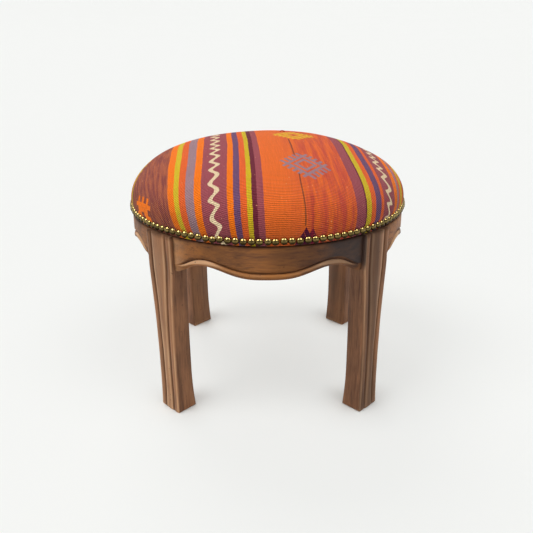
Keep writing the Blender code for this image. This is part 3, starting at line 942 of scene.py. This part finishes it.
def stained_wood(name, direction, lightest):
    """Worn brown wood of a lightest tone, with its grain along an axis: 0, 1 or 2."""
    made, start, shader = new_finish(name)
    where = object_place(start)
    stretch = [GRAIN_ACROSS] * 3
    stretch[direction] = GRAIN_ALONG
    grain = grain_place(start, stretch)
    figure = speckle(start, grain, 1.0, detail=4.0, roughness=0.6)
    fibre = speckle(start, grain, 9.0, detail=2.0, roughness=0.6)
    cloud = speckle(start, where, 14.0, detail=2.0)
    pores = speckle(start, grain, 4.0, detail=1.0, roughness=0.4).clamped(0.6, 0.72)
    nicks = speckle(start, where, 210.0, detail=1.0)
    wear, grime, stain = (point_value(start, mark) for mark in WOOD_MARKS)
    depth = figure * 1.1 + cloud * 0.7 + fibre * 0.5 - 0.66
    brown = plain_colour(start, lightest).mixed(WOOD_DARK, depth.clamped(0.1, 0.9))
    brown = brown.mixed(WOOD_GRIME, pores * 0.35)
    # Lighter where rubbed, and painted highlight on the bead crests and the left end of the front apron.
    worn_and_sheen = (wear * (cloud * 1.2 + fibre * 0.6 - 0.2)).clamped(0.05, 1.1)
    brown = brown.mixed(WOOD_WORN_SHEEN, worn_and_sheen * 0.85)
    # Darker sides of the legs, face of the front right leg and right end of the front apron.
    brown = brown.mixed(WOOD_DARKENED, stain * (figure * 0.4 + 0.75))
    # Darker with grime, and painted shade close under the hem and under the bead.
    brown = brown.mixed(WOOD_GRIME, grime * (figure * 0.8 + cloud * 0.3 + 0.3))
    brown = brown.mixed(WOOD_GRIME, nicks.clamped(0.72, 0.8) * 0.6)
    height = fibre * 0.6 + figure * 0.6 + cloud * 1.4 - pores * 0.5
    relief = start.node("ShaderNodeBump", None, {"Height": height, "Strength": 0.5, "Distance": 0.0007})
    feed(shader, "Base Color", brown)
    feed(shader, "Roughness", 0.44 + figure * 0.14 + grime * 0.2)
    feed(shader, "Normal", relief)
    feed(shader, "Specular IOR Level", 0.28)
    return made


wood = {}
for direction, lightest in enumerate((APRON_LIGHT, APRON_LIGHT, LEG_LIGHT)):
    wood[direction] = stained_wood(f"stained_wood_{'xyz'[direction]}", direction, lightest)
print("wood:", [finish.name for finish in wood.values()])

# %% [markdown]
# ## Legs
#
# Each leg narrows below the knee, has a waist and flares out to its foot. Its face follows the round of
# the frame and is moulded with a bead on either edge, a groove and a low swelling field between. The
# faces of a leg are a grid again: one way round the section, the other way up the leg, closed along a
# seam and at both ends. The sizes follow the photograph, in which the legs stand a few millimetres further
# out than in the frame.

# %% Sizes of the legs
FRAME_R = 0.2235
REBATE_R = 0.2205
SHOULDER_Z = 0.3045
FRAME_TOP = 0.3200
EASE = 0.0008
LEG_HALF = (0.0285, 0.0211, 0.0221)
LEG_PROUD = (0.0050, 0.0046, 0.0058)
LEG_DEPTH = (0.0295, 0.0318, 0.0368)
KNEE_Z = 0.247
WAIST_Z = 0.070
TAPER_POWER = 2.2
LEG_BEAD = 0.0096
LEG_GROOVE = 0.0044
BEAD_RISE = 0.0010
GROOVE_DEPTH = 0.0021
FIELD_RISE = 0.0014
CORNER_ROUND = 0.0016
FOOT_CHAMFER = 0.0015
CARVER_WOBBLE = 0.0004
CORNERS = {"rear_right": 45, "rear_left": 135, "front_left": 225, "front_right": 315}


def leg_size(z, sizes):
    """A size of the leg at a height, from its values at the top, the waist and the foot."""
    top, waist, foot = sizes
    if z >= KNEE_Z:
        return top
    if z >= WAIST_Z:
        return waist + (top - waist) * ((z - WAIST_Z) / (KNEE_Z - WAIST_Z)) ** TAPER_POWER
    return waist + (foot - waist) * (1 - z / WAIST_Z) ** 2


for height in (0.0, WAIST_Z, KNEE_Z):
    print("leg at", height, "m: width", round(leg_size(height, LEG_HALF) * 2000, 1), "mm")

# %% [markdown]
# The section starts at one front corner and is listed by its distance in from that corner, so the bead
# and the groove keep their width while the field between them narrows with the leg.

# %% Section of a leg
ROUND_STEPS = 4
BEAD_STEPS = 8
GROOVE_STEPS = 8
FIELD_STEPS = 9
SIDE_STEPS = 4
EDGE_WIDTH = 0.0012
FIELD_WEAR_IN = 0.002
FIELD_WEAR_WIDTH = 0.0018
FOOT_FADE = 0.7
FOOT_FADE_REACH = 0.022


def steps_to(begin, end, count):
    """Even steps from one value to another, without the first."""
    return [begin + (end - begin) * (step + 1) / count for step in range(count)]


def bell(distance, width):
    """1 at no distance, and a smooth fall to either side over a width."""
    return math.exp(-(distance / width) ** 2)


def leg_moulding(inward, half, fade):
    """Rise of the face, wear and grime at a distance in from the corner of a leg."""
    groove_end = LEG_BEAD + LEG_GROOVE
    worn_and_sheen = 0.7 * bell(inward - CORNER_ROUND, EDGE_WIDTH) + 0.25
    if inward < LEG_BEAD:
        rise = BEAD_RISE * math.sin(math.pi * inward / LEG_BEAD)
        dirt_and_shade = 0.2 * bell(LEG_BEAD - inward, EDGE_WIDTH)
    elif inward < groove_end:
        share = (inward - LEG_BEAD) / LEG_GROOVE
        rise = -GROOVE_DEPTH * math.sin(math.pi * share)
        dirt_and_shade = 0.2 + 0.6 * math.sin(math.pi * share)
    else:
        share = (half - inward) / (half - groove_end)
        rise = FIELD_RISE * (1 - share ** 2)
        dirt_and_shade = 0.2 * bell(inward - groove_end, EDGE_WIDTH)
        worn_and_sheen = 0.45 * bell(inward - groove_end - FIELD_WEAR_IN, FIELD_WEAR_WIDTH) + 0.45
    rise *= fade
    if inward < CORNER_ROUND:
        rise -= CORNER_ROUND - math.sqrt(CORNER_ROUND ** 2 - (CORNER_ROUND - inward) ** 2)
    return rise, worn_and_sheen, dirt_and_shade


def leg_section(z):
    """Points of a leg's section facing +X, as (out, across, wear, grime), once round."""
    half = leg_size(z, LEG_HALF)
    face = FRAME_R + leg_size(z, LEG_PROUD)
    back = face - leg_size(z, LEG_DEPTH)
    quarter = [math.pi / 2 * step / ROUND_STEPS for step in range(ROUND_STEPS + 1)]
    inward = [CORNER_ROUND * (1 - math.cos(turn)) for turn in quarter]
    inward += steps_to(CORNER_ROUND, LEG_BEAD, BEAD_STEPS)
    inward += steps_to(LEG_BEAD, LEG_BEAD + LEG_GROOVE, GROOVE_STEPS)
    inward += steps_to(LEG_BEAD + LEG_GROOVE, half, FIELD_STEPS)
    front = []
    fade = 1 - FOOT_FADE * bell(z, FOOT_FADE_REACH)
    for distance in inward:
        rise, worn_and_sheen, dirt_and_shade = leg_moulding(distance, half, fade)
        across = half - distance
        rise += CARVER_WOBBLE * noise.noise((face * 30 + across * 60, z * 22, face * 9))
        front.append((math.sqrt(face ** 2 - across ** 2) + rise, across, worn_and_sheen, dirt_and_shade))
    corner = front[0][0]
    side = [(out, half, 0.0, 0.0) for out in steps_to(corner - EASE, back + EASE, SIDE_STEPS)]
    side.insert(0, (corner - EASE, half, 0.0, 0.0))
    side.append((back, half - EASE, 0.3, 0.0))
    far_front = [(out, -across, worn_and_sheen, dirt_and_shade) for out, across, worn_and_sheen, dirt_and_shade in front[-2::-1]]
    far_side = [(out, -across, worn_and_sheen, dirt_and_shade) for out, across, worn_and_sheen, dirt_and_shade in side]
    return front + far_front + far_side + side[::-1]


section = leg_section(KNEE_Z)
print("leg section:", len(section), "points")

# %% [markdown]
# Above the shoulder the leg steps back into the rebate that takes the hem. The step and the small
# chamfer under the foot are extra levels of the same grid. The sides of the legs are darker than their
# faces, and darker higher up. In the photograph the front right leg is darker on its face too, and the dark
# end of the apron runs over onto its edge. Close under the hem the wood gets painted shade.

# %% Legs
LEG_LEVELS = 56
# Darkening of the sides, darkening of the face, and darkening beside the front apron.
LEG_MARKS = {
    "rear_right": (0.52, 0.0, 0.0),
    "rear_left": (0.30, 0.0, 0.0),
    "front_left": (0.24, 0.0, 0.0),
    "front_right": (0.30, 0.64, 0.95),
}
FOOT_SHARE = 0.35
FACE_DARKENING = 0.5
FACE_DARKNESS = 0.9
JOINT_RISE = (0.245, 0.265)
JOINT_OVERLAP = (0.86, 0.96)
HEM_SHADE = 0.7
GROUND_WEAR = 0.5
MARK_REACH = 0.004


def leg_levels():
    """Heights of the sections of a leg, each with an inset and the largest radius there."""
    levels = [(0.0, FOOT_CHAMFER, 1.0), (FOOT_CHAMFER, 0.0, 1.0)]
    levels += [(z, 0.0, 1.0) for z in steps_to(FOOT_CHAMFER, SHOULDER_Z - EASE, LEG_LEVELS)]
    levels += [(SHOULDER_Z, EASE, 1.0), (SHOULDER_Z, EASE, REBATE_R), (FRAME_TOP, EASE, REBATE_R)]
    return levels


def closed_tube(rings):
    """A closed body from rings of (place, values): a grid along them, welded at its seam and capped."""
    shape = bmesh.new()
    around = len(rings[0])
    bmesh.ops.create_grid(shape, x_segments=around, y_segments=len(rings) - 1, size=1.0)
    layers = [shape.verts.layers.float.new(mark) for mark in WOOD_MARKS]
    for point in shape.verts:
        column = round((point.co.x + 1) / 2 * around) % around
        row = round((point.co.y + 1) / 2 * (len(rings) - 1))
        place, values = rings[row][column]
        point.co = place
        for layer, value in zip(layers, values):
            point[layer] = value
    bmesh.ops.remove_doubles(shape, verts=shape.verts[:], dist=1e-6)
    close_up(shape)
    return shape


def eased(value, begin, end):
    """A smooth rise from 0 to 1 as a value goes from one bound to another."""
    share = min(1.0, max(0.0, (value - begin) / (end - begin)))
    return share * share * (3 - 2 * share)


def leg_marks(z, across, on_side, marks):
    """Two darkenings of a point of a leg: darkest beside an apron and in the middle of its face."""
    side, face, joint = marks
    high = z / FRAME_TOP
    beside = joint * eased(z, *JOINT_RISE)
    if on_side:
        return max(side * (FOOT_SHARE + (1 - FOOT_SHARE) * high), beside), 0.0
    share = across / leg_size(z, LEG_HALF)
    paler = eased(share, 0.2 - 0.45 * high, 0.9 - 0.5 * high) * (0.6 + 0.4 * high)
    paler += eased(-share, 0.5, 0.75) * 0.9 * high
    darkened = face * (1 - min(1.0, paler))
    return max(FACE_DARKENING * darkened, beside * eased(-share, *JOINT_OVERLAP)), FACE_DARKNESS * darkened


def under_hem_shade(z):
    """Painted shade on the wood close under the nails."""
    return HEM_SHADE * bell(SHOULDER_Z - z, MARK_REACH)


def leg_rings(degrees, marks):
    """Rings of a leg's points about the stool's axis."""
    turn = Matrix.Rotation(math.radians(degrees), 3, "Z")
    rings = []
    for z, inset, limit in leg_levels():
        section = leg_section(z)
        middle = (section[0][0] + min(point[0] for point in section)) / 2
        ring = []
        for out, across, worn_and_sheen, dirt_and_shade in section:
            out -= math.copysign(inset, out - middle)
            across -= math.copysign(inset, across) if abs(across) > inset else 0.0
            radius = math.hypot(out, across)
            held = min(1.0, limit / radius)
            place = turn @ Vector((out * held, across * held, z))
            stain, darkened = leg_marks(z, across, out < section[0][0] - EASE / 2, marks)
            worn_and_sheen = worn_and_sheen * (1.5 - 0.5 * z / FRAME_TOP) + GROUND_WEAR * bell(z, MARK_REACH)
            ring.append((place, (worn_and_sheen, max(dirt_and_shade, under_hem_shade(z), darkened), stain)))
        rings.append(ring)
    return rings


for corner, degrees in CORNERS.items():
    shape = closed_tube(leg_rings(degrees, LEG_MARKS[corner]))
    leg = piece_from(shape, f"moulded_leg_{corner}", wood[2], [f"leg_{corner}"])
print("legs:", len(leg.data.polygons), "faces each")

# %% [markdown]
# ## Aprons
#
# Between the legs run four curved aprons, cut from thick stock. Their lower edge is serpentine: a belly
# in the middle, a crest on either side, and a lobe that meets the leg. A bead follows the edge below a
# hollow and fades into a tail as it nears the leg. The section is worked out for each station along the
# curve, and the ends stay a hair off the legs' flat sides.

# %% Sizes of the aprons
JOINT_GAP = 0.0003
APRON_INNER_R = 0.2015
BELLY_DEPTH = 0.0502
CREST_DEPTH = 0.0360
LOBE_DEPTH = 0.0531
CREST_ANGLE = math.radians(24)
BELLY_POWER = 1.9
LOBE_POWER = 1.5
BAND = 0.0132
BAND_END = 0.0109
BEAD_LIP = 0.0006
EDGE_BEAD_RISE = 0.0008
COVE_WIDTH = 0.0034
COVE_DEPTH = 0.0026
COVE_SWELL = 0.0014
TAIL_ANGLE = math.radians(36.2)
TAIL_TIP = 0.0008
SIDES = {"right": 0, "rear": 90, "left": 180, "front": 270}


def end_angle(radius):
    """Half of the angle that an apron spans at a radius, up to the flat side of the leg."""
    return math.pi / 4 - math.asin((LEG_HALF[0] + JOINT_GAP) / radius)


def wave(angle, whole):
    """Half a wave: a rise from 0 to 1 over a whole angle."""
    return (1 - math.cos(math.pi * angle / whole)) / 2


def lower_edge(angle):
    """Height of the lower edge and width of its bead and hollow, at an angle from the apron's middle."""
    if angle < CREST_ANGLE:
        climb = wave(angle, CREST_ANGLE) ** BELLY_POWER
        return SHOULDER_Z - BELLY_DEPTH + (BELLY_DEPTH - CREST_DEPTH) * climb, BAND
    fall = wave(angle - CREST_ANGLE, end_angle(FRAME_R) - CREST_ANGLE) ** LOBE_POWER
    return SHOULDER_Z - CREST_DEPTH - (LOBE_DEPTH - CREST_DEPTH) * fall, BAND + (BAND_END - BAND) * fall


def bead_sizes(angle, band):
    """Lift and height of the bead over the lower edge, and the share of its relief that is left."""
    tail = max(0.0, min(1.0, (angle - CREST_ANGLE) / (TAIL_ANGLE - CREST_ANGLE)))
    lift = BEAD_LIP + (band - BEAD_LIP - TAIL_TIP) * tail ** 4
    cove = COVE_WIDTH + COVE_SWELL * math.sin(math.pi * tail)
    return lift, (band - lift) * (1 - cove / (band - BEAD_LIP)), 1 - tail ** 6


print("apron: spans", round(math.degrees(2 * end_angle(FRAME_R)), 2), "degrees")

# %% [markdown]
# Seen along the curve, the section goes from the inner top corner over the rebate, down the face, into
# the hollow, round the bead, and back under the apron.

# %% Section of an apron
FACE_STEPS = 10
COVE_STEPS = 6
ROLL_STEPS = 14
INNER_STEPS = 4
BEAD_WEAR = 0.5
CREST_HIGHLIGHT = 3.4
BELLY_SHADE = 0.75
JOINT_GRIME = 0.75
JOINT_REACH = 0.012


def apron_section(angle):
    """Points of an apron's section, as (radius, height, wear and highlight, grime and shade), once round.
    """
    lower, band = lower_edge(angle)
    lift, height, relief = bead_sizes(angle, band)
    cove_r = FRAME_R - COVE_DEPTH * relief
    bead_top = lower + lift + height
    face_end = lower + band
    joint = JOINT_GRIME * bell(end_angle(FRAME_R) - angle, JOINT_REACH)
    crest = bell(angle - CREST_ANGLE - 0.04, 0.1)
    points = [(APRON_INNER_R, FRAME_TOP, 0.0, 0.0), (REBATE_R, FRAME_TOP, 0.0, 0.0)]
    # Painted shade on the shoulder, close under the hem.
    points += [(REBATE_R, SHOULDER_Z, 0.0, 1.0), (FRAME_R - EASE, SHOULDER_Z, 0.0, 0.9)]
    points.append((FRAME_R, SHOULDER_Z - EASE, 0.0, 0.8))
    for z in steps_to(SHOULDER_Z - EASE, face_end + EASE, FACE_STEPS):
        wobble = CARVER_WOBBLE * noise.noise((angle * 9, z * 25, FRAME_R * 40))
        points.append((FRAME_R + wobble, z, 0.15, max(under_hem_shade(z), joint)))
    for step in range(1, COVE_STEPS + 1):
        share = step / COVE_STEPS
        radius = FRAME_R - (FRAME_R - cove_r) * math.sin(math.pi / 2 * share)
        z = face_end + EASE * (1 - share) - (face_end - bead_top) * share ** 1.5
        points.append((radius, z, 0.0, max((0.25 + 0.75 * share) * relief, joint)))
    for step in range(1, ROLL_STEPS + 1):
        turn = math.pi / 2 - math.pi * step / ROLL_STEPS
        radius = cove_r + (COVE_DEPTH + EDGE_BEAD_RISE) * relief * math.cos(turn)
        # Painted highlight on the upper side of the bead, strongest at the crests, over some wear.
        wear_and_highlight = (BEAD_WEAR + CREST_HIGHLIGHT * crest) * bell(turn - 0.6, 0.7) * relief
        # Painted shade on the underside of the bead, away from the crests.
        under = BELLY_SHADE * (1 - crest) * eased(-turn, -0.5, 0.3)
        hollow_and_shade = max(bell(turn - math.pi / 2, 0.22), under) * relief
        points.append((radius, lower + lift + height * (1 + math.sin(turn)) / 2, wear_and_highlight, max(hollow_and_shade, joint)))
    points += [(cove_r - BEAD_LIP, lower, 0.0, joint), (APRON_INNER_R + EASE, lower, 0.0, 0.0)]
    points += [(APRON_INNER_R, z, 0.0, 0.0) for z in steps_to(lower, FRAME_TOP - EASE, INNER_STEPS)]
    return points


print("apron section:", len(apron_section(0.0)), "points")

# %% [markdown]
# In the photograph the right end of the front apron is nearly black, its left end is pale, and its face
# is darker between them, while the bead is lighter. So that apron has marks of its own along its length,
# each a sum of smooth rises and falls between two angles from its middle. The pale left end is painted
# highlight.

# %% Aprons
STATIONS = 168
BEAD_DARKENING = 0.6
# Rows for the darker face, the darker end and the painted highlight on the left end: two angles in degrees,
# and how far the mark rises between them.
APRON_MARKS = {
    "front": (
        ((-32, -22, 0.66), (-18, -14, -0.34), (-11, -6, -0.32), (-5, 6, 0.7), (15, 26, -0.7)),
        ((11, 26, 1.0),),
        ((-42, -40, 0.6), (-37, -29, -0.6)),
    ),
}


def marks_at(side, angle):
    """Darker face, darker end and painted highlight of an apron at an angle, each a sum of smooth rises
    over degrees.
    """
    sums = []
    for rises in APRON_MARKS.get(side, ((), (), ())):
        sums.append(sum(amount * eased(math.degrees(angle), begin, end) for begin, end, amount in rises))
    return sums


def apron_rings(side, degrees):
    """Rings of an apron's points, from one end to the other."""
    rings = []
    for row in range(STATIONS + 1):
        even = 2 * row / STATIONS - 1
        station = (even + math.sin(math.pi / 2 * even)) / 2
        angle = station * end_angle(FRAME_R)
        darkened, dark, painted_sheen = marks_at(side, angle)
        lower, band = lower_edge(abs(angle))
        ring = []
        for radius, z, worn_and_sheen, dirt_and_shade in apron_section(abs(angle)):
            around = math.radians(degrees) + station * end_angle(radius)
            place = Vector((radius * math.cos(around), radius * math.sin(around), z))
            # The pale left end is painted highlight, added to the wear.
            if z > lower + band:
                ring.append((place, (worn_and_sheen + painted_sheen, max(dirt_and_shade, darkened), dark)))
            else:
                ring.append((place, (worn_and_sheen + painted_sheen, dirt_and_shade, dark * BEAD_DARKENING)))
        rings.append(ring)
    return rings


for side, degrees in SIDES.items():
    shape = closed_tube(apron_rings(side, degrees))
    direction = 0 if side in ("front", "rear") else 1
    apron = piece_from(shape, f"beaded_apron_{side}", wood[direction], [f"apron_{side}"])
print("aprons:", len(apron.data.polygons), "faces each")

# %% [markdown]
# ## Hidden pieces
#
# The corner blocks, the screws and the seat board stay as they are in the frame. They get plain
# finishes: raw beech, zinc-plated steel and plywood.

# %% Finishes of the hidden pieces
PLY_THICK = 0.0024

beech, start, shader = new_finish("raw_beech")
flame = speckle(start, grain_place(start, (140.0, 140.0, 12.0)), 1.0, detail=3.0)
pale = plain_colour(start, tone(206, 172, 130))
feed(shader, "Base Color", pale.mixed(tone(168, 128, 88), flame.clamped(0.35, 0.7)))
feed(shader, "Roughness", 0.75)

ply, start, shader = new_finish("plywood")
height = start.node("ShaderNodeSeparateXYZ", None, {0: object_place(start)}).out(2)
layer = (height / PLY_THICK).math("FLOOR").math("PINGPONG", 1.0)
flame = speckle(start, grain_place(start, (12.0, 120.0, 120.0)), 1.0, detail=3.0)
pale = plain_colour(start, tone(214, 184, 142))
feed(shader, "Base Color", pale.mixed(tone(160, 122, 84), flame.clamped(0.3, 0.8) * 0.6 + layer * 0.35))
feed(shader, "Roughness", 0.8)

steel, start, shader = new_finish("zinc_steel")
spangle = speckle(start, object_place(start), 700.0)
feed(shader, "Base Color", tone(196, 198, 200))
feed(shader, "Metallic", 1.0)
feed(shader, "Roughness", 0.28 + spangle * 0.2)

kept = {"corner_block": beech, "seat_board": ply, "block_screw": steel, "board_screw": steel}
dressed = 0
for name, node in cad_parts.items():
    for begin, finish in kept.items():
        if name.startswith(begin):
            node.data.materials.clear()
            node.data.materials.append(finish)
            dressed += 1
print("hidden pieces:", dressed, "dressed")
